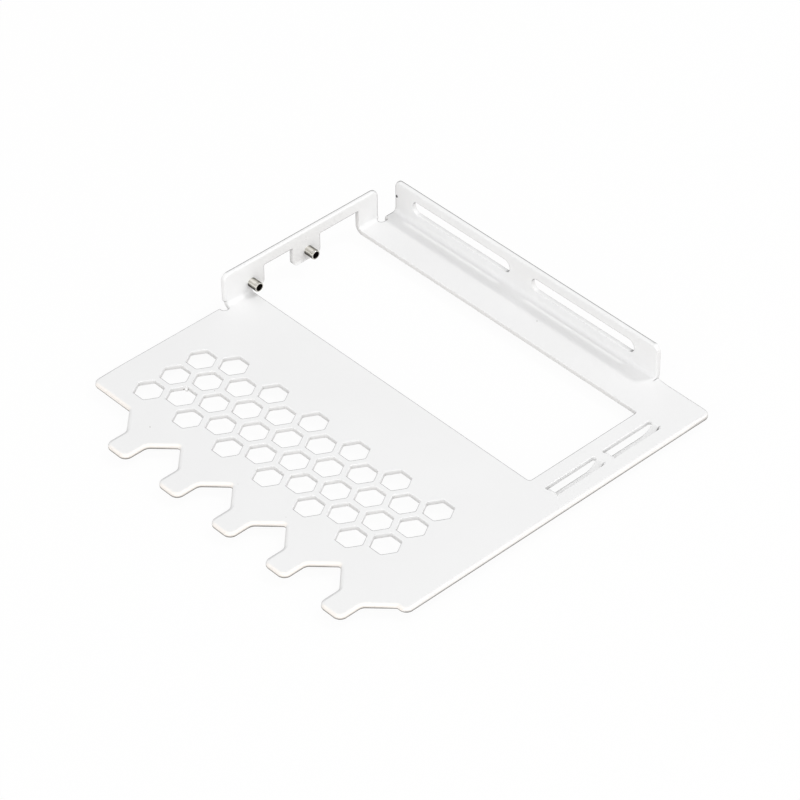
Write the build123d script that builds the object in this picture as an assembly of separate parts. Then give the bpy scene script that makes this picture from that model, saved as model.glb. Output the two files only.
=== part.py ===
from build123d import *
import os
from math import radians, sqrt, tan

# Graphics card support bracket: a punched and folded steel sheet with two clinched posts.
# Millimetres, +Z up. The plate lies flat, the tongues point to -Y, and the folds stand up.
# The origin is below the middle of the part, at the level of its lowest faces.

# Sheet: 1.2 mm steel with a 0.1 mm powder coat on each face
SHEET = 1.4
BEND_INSIDE = 1.2
CORNER_RADIUS = 2.2

# Plate, from its free left edge and its free back edge
PLATE_WIDTH = 120.0
PLATE_DEPTH = 107.65
FOLD_OUTSET = 0.9
FLANGE_CORNER = 2.0

# Tongues along the front edge, one for each expansion slot of the case
SLOT_PITCH = 20.32
TONGUE_COUNT = 5
TONGUE_LENGTH = 13.35
TONGUE_WIDTH = 8.1
TONGUE_SLOPE = 45.0
TONGUE_FIRST = 25.45
TONGUE_TIP_RADIUS = 2.0
TONGUE_SHOULDER_RADIUS = 1.5
TONGUE_ROOT_RADIUS = 0.8

# Honeycomb vent: columns across the plate, rows from front to back
HEX_PITCH = 9.0
HEX_FLATS = 7.2
HEX_CORNER = 0.8
HEX_COLUMNS = 12
HEX_ROWS = 3
HEX_FROM_LEFT = 13.0
HEX_FROM_FRONT = 8.5

# Window for the connectors of a two-slot card
WINDOW_DEPTH = 38.85
WINDOW_FROM_BACK = 13.7
WINDOW_FROM_RIGHT = 13.4
WINDOW_CORNER = 0.9

# Side flange, where the window runs on through the fold
SIDE_RISE = 9.8
SIDE_LENGTH = 55.8
SIDE_FROM_BACK = 6.25
SIDE_OPENING_RISE = 6.2
SIDE_LEDGE = 4.6
SIDE_TAB_WIDTH = 10.0
SIDE_TAB_FROM_LEDGE = 10.2
SIDE_TAB_RISE = 0.2
SIDE_TAB_RADIUS = 1.4
SIDE_OPENING_RADIUS = 0.4

# Rear flange with two long screw slots
REAR_RISE = 10.2
REAR_LENGTH = 100.0
REAR_FROM_LEFT = 0.75
SCREW_SLOT_LENGTH = 38.1
SCREW_SLOT_WIDTH = 4.05
SCREW_SLOT_PITCH = 46.4
SCREW_SLOT_RISE = 5.1
SCREW_SLOTS_FROM_LEFT = 7.1
SCREW_SLOT_COUNT = 2

# Reliefs at the ends of the folds
RELIEF_RADIUS = 1.0
RELIEF_RISE = 0.4
CORNER_RELIEF_RADIUS = 1.0
CORNER_RELIEF_FROM_LEFT = 1.15
CORNER_RELIEF_FROM_BACK = 5.65

# Bridges lanced down beside two narrow slots, to catch the tongues of the card's bracket
CATCH_GAP = 1.0
CATCH_LENGTH = 17.35
CATCH_SLOT_WIDTH = 1.1
CATCH_BRIDGE_WIDTH = 3.0
CATCH_RAMP = 3.1
CATCH_BEND_INSIDE = 0.8
CATCH_BEND_OUTSIDE = 1.6
CATCH_FROM_RIGHT = 4.8
CATCH_FROM_BACK = 13.75
CATCH_COUNT = 2

# Posts clinched into the side flange
POST_DIAMETER = 2.8
POST_BORE = 1.6
POST_LEAD_IN = 2.2
POST_LENGTH = 3.2
POST_HEAD_FLATS = 4.0
POST_HEAD_HEIGHT = 0.9
POST_RISE = 2.9
POST_FROM_LEDGE = 4.6
POST_COUNT = 2

# Levels and faces worked out from the sizes above
CATCH_DROP = SHEET + CATCH_GAP
BEND_OUTSIDE = BEND_INSIDE + SHEET
Z_UNDER = CATCH_DROP
Z_TOP = Z_UNDER + SHEET
Z_SIDE_RIM = Z_TOP + SIDE_RISE
Z_REAR_RIM = Z_TOP + REAR_RISE
X_SIDE = -(PLATE_WIDTH + FOLD_OUTSET) / 2
X_LEFT = X_SIDE + FOLD_OUTSET
X_RIGHT = X_LEFT + PLATE_WIDTH
Y_TIP = -(TONGUE_LENGTH + PLATE_DEPTH + FOLD_OUTSET) / 2
Y_FRONT = Y_TIP + TONGUE_LENGTH
Y_SHOULDER = Y_FRONT - (SLOT_PITCH - TONGUE_WIDTH) / 2 * tan(radians(TONGUE_SLOPE))
Y_BACK = Y_FRONT + PLATE_DEPTH
Y_REAR = Y_BACK + FOLD_OUTSET
Y_SIDE_END = Y_BACK - SIDE_FROM_BACK
Y_SIDE_START = Y_SIDE_END - SIDE_LENGTH
X_REAR_START = X_LEFT + REAR_FROM_LEFT
X_REAR_END = X_REAR_START + REAR_LENGTH
Y_WINDOW_BACK = Y_BACK - WINDOW_FROM_BACK
Y_WINDOW_FRONT = Y_WINDOW_BACK - WINDOW_DEPTH
X_WINDOW_RIGHT = X_RIGHT - WINDOW_FROM_RIGHT
Y_LEDGE = Y_WINDOW_FRONT + SIDE_LEDGE
Z_POST = Z_TOP + POST_RISE
CUT = 1.0  # how far a cutting tool runs past a face
SAME = 1e-6  # places closer than this are one


def span(x0, x1, y0, y1):
    """A rectangle between two X and two Y places."""
    return Pos((x0 + x1) / 2, (y0 + y1) / 2) * Rectangle(x1 - x0, y1 - y0)


def same_place(a, b):
    """Whether two places are the same."""
    return abs(a - b) < SAME


def upright(sketch, start, end):
    """A sketch in (Y, Z), extruded along X from start to end."""
    plane = Plane(origin=(start, 0, 0), x_dir=(0, 1, 0), z_dir=(1, 0, 0))
    return extrude(plane * sketch, end - start)


def across(sketch, start, end):
    """A sketch in (X, Z), extruded along Y from start to end."""
    plane = Plane(origin=(0, end, 0), x_dir=(1, 0, 0), z_dir=(0, -1, 0))
    return extrude(plane * sketch, end - start)


def outline_points():
    """Corners of the plate, with the tongues along its front edge."""
    half, root = TONGUE_WIDTH / 2, SLOT_PITCH / 2
    points = [(X_LEFT, Y_BACK), (X_LEFT, Y_FRONT)]
    for index in range(TONGUE_COUNT):
        x = X_LEFT + TONGUE_FIRST + index * SLOT_PITCH
        points += [(x - root, Y_FRONT), (x - half, Y_SHOULDER), (x - half, Y_TIP)]
        points += [(x + half, Y_TIP), (x + half, Y_SHOULDER)]
    last_root = X_LEFT + TONGUE_FIRST + (TONGUE_COUNT - 0.5) * SLOT_PITCH
    return points + [(last_root, Y_FRONT), (X_RIGHT, Y_FRONT), (X_RIGHT, Y_BACK)]


def rounded(face, radius, picked):
    """The face with a radius at each corner that picked(x, y) names."""
    return fillet(face.vertices().filter_by(lambda v: picked(v.X, v.Y)), radius)


def plate():
    """The flat plate with its tongues, cut back to the start of each fold."""
    face = make_face(Polyline(*outline_points(), close=True))
    face = rounded(face, TONGUE_TIP_RADIUS, lambda x, y: same_place(y, Y_TIP))
    face = rounded(face, TONGUE_SHOULDER_RADIUS, lambda x, y: same_place(y, Y_SHOULDER))
    face = rounded(face, TONGUE_ROOT_RADIUS, lambda x, y: same_place(y, Y_FRONT) and abs(x) < X_RIGHT - CUT)
    face = rounded(face, CORNER_RADIUS, lambda x, y: same_place(x, X_RIGHT))
    face = rounded(face, CORNER_RADIUS, lambda x, y: same_place(x, X_LEFT) and y < 0)
    side_tangent, rear_tangent = X_SIDE + BEND_OUTSIDE, Y_REAR - BEND_OUTSIDE
    face -= span(X_LEFT - CUT, side_tangent, Y_SIDE_START, Y_SIDE_END)
    face -= span(X_LEFT - CUT, X_REAR_START, Y_SIDE_END, Y_BACK + CUT)
    face -= span(X_REAR_START, X_REAR_END, rear_tangent, Y_BACK + CUT)
    return extrude(Pos(0, 0, Z_UNDER) * face, SHEET)


def fold_section(outer_face, inward, rim):
    """Section of a fold and its wall. The wall's outer face is at outer_face, inward is +1 or -1."""
    centre = (outer_face + inward * BEND_OUTSIDE, Z_UNDER + BEND_OUTSIDE)
    ring = Pos(*centre) * (Circle(BEND_OUTSIDE) - Circle(BEND_INSIDE))
    corner = (outer_face + inward * BEND_OUTSIDE / 2, Z_UNDER + BEND_OUTSIDE / 2)
    quarter = ring & Pos(*corner) * Rectangle(BEND_OUTSIDE, BEND_OUTSIDE)
    inner_face = outer_face + inward * SHEET
    wall = span(min(outer_face, inner_face), max(outer_face, inner_face), centre[1], rim)
    return quarter + wall


def flange_outline(start, end, rim):
    """Outline of a flange seen from its face, with rounded upper corners."""
    return rounded(span(start, end, Z_UNDER - CUT, rim), FLANGE_CORNER, lambda x, y: same_place(y, rim))


def side_flange():
    """The folded side flange."""
    bent = across(fold_section(X_SIDE, 1, Z_SIDE_RIM), Y_SIDE_START, Y_SIDE_END)
    outline = flange_outline(Y_SIDE_START, Y_SIDE_END, Z_SIDE_RIM)
    return bent & upright(outline, X_SIDE - CUT, X_SIDE + BEND_OUTSIDE + CUT)


def rear_flange():
    """The folded rear flange with its two screw slots."""
    bent = upright(fold_section(Y_REAR, -1, Z_REAR_RIM), X_REAR_START, X_REAR_END)
    outline = flange_outline(X_REAR_START, X_REAR_END, Z_REAR_RIM)
    bent = bent & across(outline, Y_REAR - BEND_OUTSIDE - CUT, Y_REAR + CUT)
    first = X_REAR_START + SCREW_SLOTS_FROM_LEFT + SCREW_SLOT_LENGTH / 2
    for index in range(SCREW_SLOT_COUNT):
        middle = (first + index * SCREW_SLOT_PITCH, Z_TOP + SCREW_SLOT_RISE)
        slot = Pos(*middle) * SlotOverall(SCREW_SLOT_LENGTH, SCREW_SLOT_WIDTH)
        bent -= across(slot, Y_REAR - SHEET - CUT, Y_REAR + CUT)
    return bent


def honeycomb():
    """Cutting tool for the hexagonal vent holes."""
    hexagon = RegularPolygon(HEX_FLATS / 2, 6, major_radius=False, rotation=30)
    hexagon = fillet(hexagon.vertices(), HEX_CORNER)
    column_step = HEX_PITCH * sqrt(3) / 2
    holes = []
    for column in range(HEX_COLUMNS):
        for row in range(HEX_ROWS):
            x = X_LEFT + HEX_FROM_LEFT + column * column_step
            y = Y_FRONT + HEX_FROM_FRONT + (row + (column % 2) / 2) * HEX_PITCH
            holes.append(Pos(x, y, Z_UNDER - CUT) * hexagon)
    return extrude(Sketch() + holes, SHEET + 2 * CUT)


def card_window():
    """Cutting tool for the window: through the plate, and up through the fold of the side flange."""
    face = span(X_SIDE - CUT, X_WINDOW_RIGHT, Y_WINDOW_FRONT, Y_WINDOW_BACK)
    face = rounded(face, WINDOW_CORNER, lambda x, y: same_place(x, X_WINDOW_RIGHT))
    through = extrude(Pos(0, 0, Z_UNDER - CUT) * face, SIDE_TAB_RISE + SHEET + CUT)
    top = Z_TOP + SIDE_OPENING_RISE
    low = Z_TOP + SIDE_TAB_RISE
    tab_start = Y_LEDGE + SIDE_TAB_FROM_LEDGE
    tab_end = tab_start + SIDE_TAB_WIDTH
    opening = span(Y_WINDOW_FRONT, Y_WINDOW_BACK, Z_UNDER, top)
    ledge = span(Y_WINDOW_FRONT - CUT, Y_LEDGE, low, top + CUT)
    tab = span(tab_start, tab_end, low, top + CUT)
    opening -= rounded(ledge, SIDE_TAB_RADIUS, lambda y, z: same_place(z, low) and same_place(y, Y_LEDGE))
    opening -= rounded(tab, SIDE_TAB_RADIUS, lambda y, z: same_place(z, low))
    opening = rounded(opening, SIDE_OPENING_RADIUS, lambda y, z: same_place(z, top))
    return through + upright(opening, X_SIDE - CUT, X_SIDE + BEND_OUTSIDE)


def fold_reliefs():
    """Cutting tool for the rounded reliefs at both ends of the side fold."""
    depth = X_SIDE + BEND_OUTSIDE - RELIEF_RADIUS
    rise = Z_TOP + RELIEF_RISE
    middle = Y_SIDE_START - RELIEF_RADIUS / 2
    start, end = middle - RELIEF_RADIUS, middle + RELIEF_RADIUS
    notch = Pos(depth, middle) * Circle(RELIEF_RADIUS) + span(X_SIDE - CUT, depth, start, end)
    arch = Pos(middle, rise) * Circle(RELIEF_RADIUS) + span(start, end, Z_UNDER - CUT, rise)
    tool = extrude(Pos(0, 0, Z_UNDER - CUT) * notch, CUT + SHEET + RELIEF_RISE + RELIEF_RADIUS)
    tool = tool & upright(arch, X_SIDE - CUT, X_SIDE + BEND_OUTSIDE + CUT)
    corner = (X_LEFT + CORNER_RELIEF_FROM_LEFT, Y_BACK - CORNER_RELIEF_FROM_BACK, Z_UNDER + SHEET / 2)
    return tool + Pos(*corner) * Cylinder(CORNER_RELIEF_RADIUS, SHEET + 2 * CUT)


def catch_places():
    """Far end of each catch along Y, from the back of the plate forwards."""
    return [Y_BACK - CATCH_FROM_BACK - index * SLOT_PITCH for index in range(CATCH_COUNT)]


def catch_openings():
    """Cutting tool for the narrow slots and for the strips that the bridges are pressed from."""
    width = CATCH_SLOT_WIDTH + CATCH_BRIDGE_WIDTH
    right = X_RIGHT - CATCH_FROM_RIGHT
    openings = [span(right - width, right, far - CATCH_LENGTH, far) for far in catch_places()]
    return extrude(Pos(0, 0, Z_UNDER - CUT) * (Sketch() + openings), SHEET + 2 * CUT)


def catch_bridge(far):
    """One bridge, pressed down between two ramps so that a card tongue slides over it."""
    near = far - CATCH_LENGTH
    low = Z_UNDER - CATCH_DROP
    profile = Polyline(
        (near, Z_TOP), (near + CATCH_RAMP, Z_TOP - CATCH_DROP), (far - CATCH_RAMP, Z_TOP - CATCH_DROP),
        (far, Z_TOP), (far, Z_UNDER), (far - CATCH_RAMP, low), (near + CATCH_RAMP, low),
        (near, Z_UNDER), close=True)
    strip = rounded(make_face(profile), CATCH_BEND_INSIDE, lambda y, z: same_place(z, Z_TOP - CATCH_DROP))
    strip = rounded(strip, CATCH_BEND_OUTSIDE, lambda y, z: same_place(z, low))
    right = X_RIGHT - CATCH_FROM_RIGHT
    return upright(strip, right - CATCH_BRIDGE_WIDTH, right)


def post_places():
    """Middle of each post along Y."""
    first = Y_LEDGE - POST_FROM_LEDGE
    return [first + index * SLOT_PITCH for index in range(POST_COUNT)]


def post_blank():
    """Outer form of a post along +Z: hexagonal head from Z = 0, then the barrel."""
    head = RegularPolygon(POST_HEAD_FLATS / 2, 6, major_radius=False)
    return extrude(head, POST_HEAD_HEIGHT) + extrude(Circle(POST_DIAMETER / 2), SHEET + POST_LENGTH)


def on_side_flange(y):
    """Place of a post: head flush with the outer face of the side flange, barrel pointing inwards."""
    return Location(Plane(origin=(X_SIDE, y, Z_POST), x_dir=(0, 1, 0), z_dir=(1, 0, 0)))


def card_post():
    """A hollow post: bore for a fine thread, and a countersunk mouth."""
    end = SHEET + POST_LENGTH
    mouth = (POST_LEAD_IN - POST_BORE) / 2
    bore = Cylinder(POST_BORE / 2, end, align=(Align.CENTER, Align.CENTER, Align.MIN))
    cone = Cone(POST_BORE / 2, POST_LEAD_IN / 2, mouth, align=(Align.CENTER, Align.CENTER, Align.MAX))
    return post_blank() - bore - Pos(0, 0, end) * cone


def bracket_sheet():
    """The whole folded sheet."""
    sheet = plate() + side_flange() + rear_flange()
    sheet -= card_window() + fold_reliefs() + honeycomb() + catch_openings()
    for far in catch_places():
        sheet += catch_bridge(far)
    for y in post_places():
        sheet -= on_side_flange(y) * post_blank()
    return sheet


os.makedirs("parts", exist_ok=True)
export_step(bracket_sheet(), "parts/bracket_sheet.step")
for number, y in enumerate(post_places(), start=1):
    export_step(on_side_flange(y) * card_post(), f"parts/card_post_{number}.step")
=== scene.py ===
# %% [markdown]
# # Graphics card support bracket
# The object is one steel sheet, punched and folded, under a white powder coat, with two small bright
# posts pressed into its side flange. Its tongues sit in five slots at the back of a computer case, and it
# holds a card flat. The solids come from the CAD model, in metres and in its frame, so that every piece
# made here lands on them.

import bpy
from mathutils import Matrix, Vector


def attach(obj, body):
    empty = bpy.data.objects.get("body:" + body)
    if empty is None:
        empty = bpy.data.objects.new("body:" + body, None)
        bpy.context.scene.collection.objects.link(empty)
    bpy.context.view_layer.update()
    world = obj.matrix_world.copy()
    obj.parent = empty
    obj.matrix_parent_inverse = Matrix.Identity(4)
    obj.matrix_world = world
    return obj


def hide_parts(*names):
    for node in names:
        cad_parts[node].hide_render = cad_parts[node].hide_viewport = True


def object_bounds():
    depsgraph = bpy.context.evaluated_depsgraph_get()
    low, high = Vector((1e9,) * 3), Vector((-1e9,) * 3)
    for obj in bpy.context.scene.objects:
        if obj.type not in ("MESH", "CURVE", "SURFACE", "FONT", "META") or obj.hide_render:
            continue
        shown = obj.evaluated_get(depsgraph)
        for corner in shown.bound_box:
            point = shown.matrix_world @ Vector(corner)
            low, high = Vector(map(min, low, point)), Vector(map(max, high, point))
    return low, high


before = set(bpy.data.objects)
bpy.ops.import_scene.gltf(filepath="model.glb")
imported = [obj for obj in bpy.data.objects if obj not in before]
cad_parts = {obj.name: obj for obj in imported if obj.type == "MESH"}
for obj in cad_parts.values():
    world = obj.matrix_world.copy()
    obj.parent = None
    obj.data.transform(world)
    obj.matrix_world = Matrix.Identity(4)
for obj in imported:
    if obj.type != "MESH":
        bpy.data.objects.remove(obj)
cad_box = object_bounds()
cad_sides = [round(1000 * (high - low), 2) for low, high in zip(*cad_box)]
print("nodes:", sorted(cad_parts), "box in mm:", cad_sides)

# %% [markdown]
# A colour is easiest to read as the hex value that a paint chart gives. Blender wants linear light, so
# one function turns the first into the second. A second adds a node with its settings and links, which
# keeps the materials below as short as a recipe, and a third starts an empty material.

# %% Colours and nodes
import math

import bmesh
import bpy
from mathutils import Matrix, Vector
from mathutils.geometry import delaunay_2d_cdt

MM = 0.001  # one millimetre in metres


def paint(code):
    """Linear colour of an sRGB hex value such as F0F0EE."""
    channels = [int(code[i:i + 2], 16) / 255 for i in (0, 2, 4)]
    return [c / 12.92 if c <= 0.04045 else ((c + 0.055) / 1.055) ** 2.4 for c in channels] + [1.0]


def add(tree, kind, inputs=None, **settings):
    """A new node: settings are its properties, inputs are constants or the outputs that feed its sockets."""
    node = tree.nodes.new(kind)
    for name, value in settings.items():
        setattr(node, name, value)
    for name, value in (inputs or {}).items():
        if isinstance(value, bpy.types.NodeSocket):
            tree.links.new(value, node.inputs[name])
        else:
            node.inputs[name].default_value = value
    return node


def new_finish(name):
    """An empty material with its tree, its shader and its output."""
    finish = bpy.data.materials.new(name)
    finish.use_nodes = True
    finish.node_tree.nodes.clear()
    shader = add(finish.node_tree, "ShaderNodeBsdfPrincipled")
    add(finish.node_tree, "ShaderNodeOutputMaterial", {"Surface": shader.outputs["BSDF"]})
    return finish, finish.node_tree, shader


print("grey 808080 in linear light:", round(paint("808080")[0], 3))

# %% [markdown]
# Most of a material is arithmetic: a noise, a sum, a range, a mix of two colours. Each of these gets a
# function that adds the node and gives back its output, so that a finish reads from top to bottom like a
# recipe.

# %% Short ways to common nodes
def noise(tree, place, length, detail):
    """Noise with waves of about a length."""
    inputs = {"Vector": place, "Scale": 1 / length, "Detail": detail}
    return add(tree, "ShaderNodeTexNoise", inputs).outputs["Fac"]


def maths(tree, operation, *values):
    """Result of one operation on numbers, each a constant or an output."""
    return add(tree, "ShaderNodeMath", dict(enumerate(values)), operation=operation).outputs["Value"]


def vector_maths(tree, operation, *values):
    """Outputs of one operation on vectors: Vector, or Value where the result is a number."""
    return add(tree, "ShaderNodeVectorMath", dict(enumerate(values)), operation=operation).outputs


def ranged(tree, value, start, end, low=0.0, high=1.0):
    """A value that goes from low to high while another goes from start to end."""
    inputs = {"Value": value, "From Min": start, "From Max": end, "To Min": low, "To Max": high}
    return add(tree, "ShaderNodeMapRange", inputs).outputs["Result"]


def mixed(tree, factor, first, second):
    """A colour between two others."""
    inputs = {"Factor": factor, "A": first, "B": second}
    return add(tree, "ShaderNodeMix", inputs, data_type="RGBA").outputs[2]


print("short ways to nodes:", 5)

# %% [markdown]
# The sheet's finish is a polyester powder coat: dry powder clings to the steel by static charge and melts
# in an oven. It gives the eye a dense white skin with a satin gloss and a faint orange peel, small waves
# one to two millimetres long where the powder flowed together. A flat white would show none of that, so
# the white drifts a little, the gloss varies with the waves, and a bump, added further below, carries the
# peel.

# %% Polyester powder coat
COAT_WHITES = ("EEEEEE", "F2F2F2")
DRIFT_LENGTH = 22 * MM
PEEL_LENGTH = 1.6 * MM
PEEL_RANGE = (0.3, 0.7)
FINE_PEEL_LENGTH = 0.5 * MM
FINE_PEEL_SHARE = 0.25
COAT_ROUGHNESS = (0.30, 0.38)
COAT_IOR = 1.5
COAT_SPECULAR = 0.3

coat, tree, shader = new_finish("white polyester powder coat")
place = add(tree, "ShaderNodeTexCoord").outputs["Object"]
drift = noise(tree, place, DRIFT_LENGTH, detail=2.0)
colour = mixed(tree, drift, paint(COAT_WHITES[0]), paint(COAT_WHITES[1]))
peel = noise(tree, place, PEEL_LENGTH, detail=1.0)
fine = noise(tree, place, FINE_PEEL_LENGTH, detail=1.0)
waves = maths(tree, "MULTIPLY_ADD", fine, FINE_PEEL_SHARE, peel)
gloss = ranged(tree, peel, *PEEL_RANGE, *COAT_ROUGHNESS)
tree.links.new(gloss, shader.inputs["Roughness"])
shader.inputs["IOR"].default_value = COAT_IOR
shader.inputs["Specular IOR Level"].default_value = COAT_SPECULAR
print("orange peel waves per centimetre:", round(10 * MM / PEEL_LENGTH, 1))

# %% [markdown]
# Thin lines of light and shade run along the edges of the real sheet: brown painted shade below, grey painted
# shade on the sides away from the windows, and cream or clean white painted light on the sides towards them.
# Each is narrower than half a millimetre, and lamps alone leave it too faint. So the points of the sheet
# carry four shares of painted light and shade, set further below, and the coat takes that much of each tone.

# %% Painted light and shade along the edges
PAINTED_EDGE_TONES = {"Alpha": "FBFBFB", "Blue": "FBF6F1", "Green": "7E7E7D", "Red": "3E372F"}

marks = add(tree, "ShaderNodeAttribute", attribute_name="edge_light_and_shade").outputs
channels = add(tree, "ShaderNodeSeparateColor", {"Color": marks["Color"]}).outputs
# painted shade in brown and grey and painted light in cream and pale, mixed into the coat's colour
for name, tone in PAINTED_EDGE_TONES.items():
    mark = marks["Alpha"] if name == "Alpha" else channels[name]
    colour = mixed(tree, mark, colour, paint(tone))
print("tones along the edges:", PAINTED_EDGE_TONES)

# %% [markdown]
# A grey streak of painted shade lies beside the far end of each pressed strip, where the cut opens into a
# narrow, shadowed gap. Each is a soft spot painted in the coat: the distance from one place, counted in the
# radii of an ellipsoid that is long along the strip and thin across it.

# %% Painted shade at the ends of the cuts
# painted shade: places and grey tones of the spots at the far ends of the cuts
GAP_SHADE_SPOTS = (((55.05 * MM, 45.3 * MM, 3.3 * MM), "727272"), ((55.15 * MM, 25.2 * MM, 3.3 * MM), "B4B4B4"))
GAP_SHADE_RADII = (0.38 * MM, 1.7 * MM, 2.0 * MM)
GAP_SHADE_CORE = 0.3

for spot, tone in GAP_SHADE_SPOTS:
    offset = vector_maths(tree, "SUBTRACT", place, spot)["Vector"]
    counted = vector_maths(tree, "DIVIDE", offset, GAP_SHADE_RADII)["Vector"]
    away = vector_maths(tree, "LENGTH", counted)["Value"]
    colour = mixed(tree, ranged(tree, away, 1.0, GAP_SHADE_CORE), colour, paint(tone))
print("painted gap shades:", len(GAP_SHADE_SPOTS))

# %% [markdown]
# At the left end of the rear flange the coat is knocked off, perhaps where the sheet hung on a hook in
# the oven. Dark steel shows in a ragged spot about a millimetre wide. A separate patch would stand proud
# of the face, so the spot is a mask in the coat itself: the distance from one place, made ragged by
# noise. The chip is sunk in the same bump that carries the peel.

# %% Chip in the coat
CHIP_PLACE = (-57.95 * MM, 59.55 * MM, 8.9 * MM)
CHIP_RAGGED = 0.5 * MM
CHIP_LIMITS = (0.75 * MM, 0.63 * MM)
CHIP_DEPTH = 6.0
CHIP_TONE = "4A4A4C"
PEEL_HEIGHT = 0.02 * MM
PEEL_STRENGTH = 0.35

away = vector_maths(tree, "DISTANCE", place, CHIP_PLACE)["Value"]
chip = ranged(tree, maths(tree, "MULTIPLY_ADD", fine, CHIP_RAGGED, away), *CHIP_LIMITS)
colour = mixed(tree, chip, colour, paint(CHIP_TONE))
height = maths(tree, "MULTIPLY_ADD", chip, -CHIP_DEPTH, waves)
bump = add(tree, "ShaderNodeBump", {"Height": height, "Strength": PEEL_STRENGTH, "Distance": PEEL_HEIGHT})
tree.links.new(colour, shader.inputs["Base Color"])
tree.links.new(bump.outputs["Normal"], shader.inputs["Normal"])
print("chip at", [round(v / MM, 2) for v in CHIP_PLACE], "mm")

# %% [markdown]
# The posts are turned from steel bar and plated with nickel. The eye sees bright streaks along the barrel
# between dark ones, and a black bore. Bright metal would be white all round in a white room, so the finish
# lays the streaks itself as painted reflections and shade, and paints the bore dark as painted shade. It
# needs two measures at each point of a post: the distance from its axis, and the way across the barrel, from
# low and near to high and far, made wavy.

# %% Measures on a post
POST_RISE = 6.7 * MM
POST_PLACES = (7.5 * MM, 27.82 * MM)
POST_RADIUS = 1.4 * MM
ACROSS_BARREL = (0.0, 0.78, 0.626)
STAIN_LENGTH = 0.9 * MM
WAVINESS = 0.3 * MM

plating, tree, shader = new_finish("nickel-plated steel with painted reflections")
place = add(tree, "ShaderNodeTexCoord").outputs["Object"]
parts = add(tree, "ShaderNodeSeparateXYZ", {"Vector": place}).outputs
second = maths(tree, "GREATER_THAN", parts["Y"], sum(POST_PLACES) / 2)
middle = maths(tree, "MULTIPLY_ADD", second, POST_PLACES[1] - POST_PLACES[0], POST_PLACES[0])
beside = maths(tree, "SUBTRACT", parts["Y"], middle)
above = maths(tree, "SUBTRACT", parts["Z"], POST_RISE)
spoke = add(tree, "ShaderNodeCombineXYZ", {"Y": beside, "Z": above}).outputs["Vector"]
reach = vector_maths(tree, "LENGTH", spoke)["Value"]
across = vector_maths(tree, "DOT_PRODUCT", spoke, ACROSS_BARREL)["Value"]
stain = noise(tree, place, STAIN_LENGTH, detail=3.0)
wavy = maths(tree, "MULTIPLY_ADD", stain, WAVINESS, across)
turn = ranged(tree, wavy, WAVINESS / 2 - POST_RADIUS, WAVINESS / 2 + POST_RADIUS)
print("posts", round((POST_PLACES[1] - POST_PLACES[0]) / MM, 2), "mm apart")

# %% [markdown]
# With those measures, a ramp across the barrel lays the streaks of painted reflection and shade, the face of
# the tip is one even tone, and what lies near the axis is painted dark as shade in the bore. The lathe's
# rings are a bump, drawn coarser than real so that they show, and a smear of the same stain varies the gloss.

# %% Nickel-plated steel with painted reflections and painted bore shade
# painted reflections and shade: bright and dark streaks laid across the barrel
REFLECTION_STREAKS = ((0.0, "4A4741"), (0.1, "2A2825"), (0.2, "8E8B83"), (0.3, "E9E7E0"), (0.42, "BDBAB1"),
           (0.52, "DAD7CF"), (0.64, "F8F6F0"), (0.77, "DCD9D0"), (0.89, "8B887F"), (1.0, "3C3A36"))
TIP_FACE, TIP_TONE = -55.95 * MM, "CFCCC4"
# painted shade: the bore is painted near black towards the axis
BORE_RADIUS, BORE_SHADE_FADE, BORE_SHADE_TONE = 1.06 * MM, 0.06 * MM, "1A1815"
METAL_ROUGHNESS = (0.14, 0.26)
RING_SPACING, RING_HEIGHT, RING_STRENGTH, RING_WOBBLE = 0.16 * MM, 0.004 * MM, 0.15, 0.6
WAVE_FACTOR = 20  # radians of a wave texture per unit

# painted reflections: the ramp of streaks across the barrel
reflection_streaks = add(tree, "ShaderNodeValToRGB", {"Fac": turn})
for spot, _ in REFLECTION_STREAKS[1:-1]:
    reflection_streaks.color_ramp.elements.new(spot)
for stop, (spot, tone) in zip(reflection_streaks.color_ramp.elements, REFLECTION_STREAKS):
    stop.position = spot
    stop.color = paint(tone)
tip = maths(tree, "GREATER_THAN", parts["X"], TIP_FACE)
metal = mixed(tree, tip, reflection_streaks.outputs["Color"], paint(TIP_TONE))
# painted shade in the bore
bore_shade = ranged(tree, reach, BORE_RADIUS + BORE_SHADE_FADE, BORE_RADIUS)
metal = mixed(tree, bore_shade, metal, paint(BORE_SHADE_TONE))
ring_scale = math.tau / (WAVE_FACTOR * RING_SPACING)
inputs = {"Vector": place, "Scale": ring_scale, "Distortion": RING_WOBBLE, "Detail": 1.0}
rings = add(tree, "ShaderNodeTexWave", inputs, wave_type="BANDS", bands_direction="X").outputs["Fac"]
bump = add(tree, "ShaderNodeBump", {"Height": rings, "Strength": RING_STRENGTH, "Distance": RING_HEIGHT})
tree.links.new(metal, shader.inputs["Base Color"])
tree.links.new(ranged(tree, stain, 0.0, 1.0, *METAL_ROUGHNESS), shader.inputs["Roughness"])
tree.links.new(bump.outputs["Normal"], shader.inputs["Normal"])
shader.inputs["Metallic"].default_value = 1.0
print("turning rings per millimetre:", round(MM / RING_SPACING, 1))

# %% [markdown]
# The sheet is the whole bracket but the posts, and it is made as in the shop: punched flat, then pressed
# and folded. Each outline of the flat blank gets its own rolled edge, because the coat runs rounder at
# the outside of the sheet than in its holes. Beveling the finished solid would trip over its many short
# edges. First comes a helper that rounds the corners of an outline.

# %% Outlines with rounded corners
LONGEST_STEP = 4.0
ARC_STEP = math.radians(8)


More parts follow.
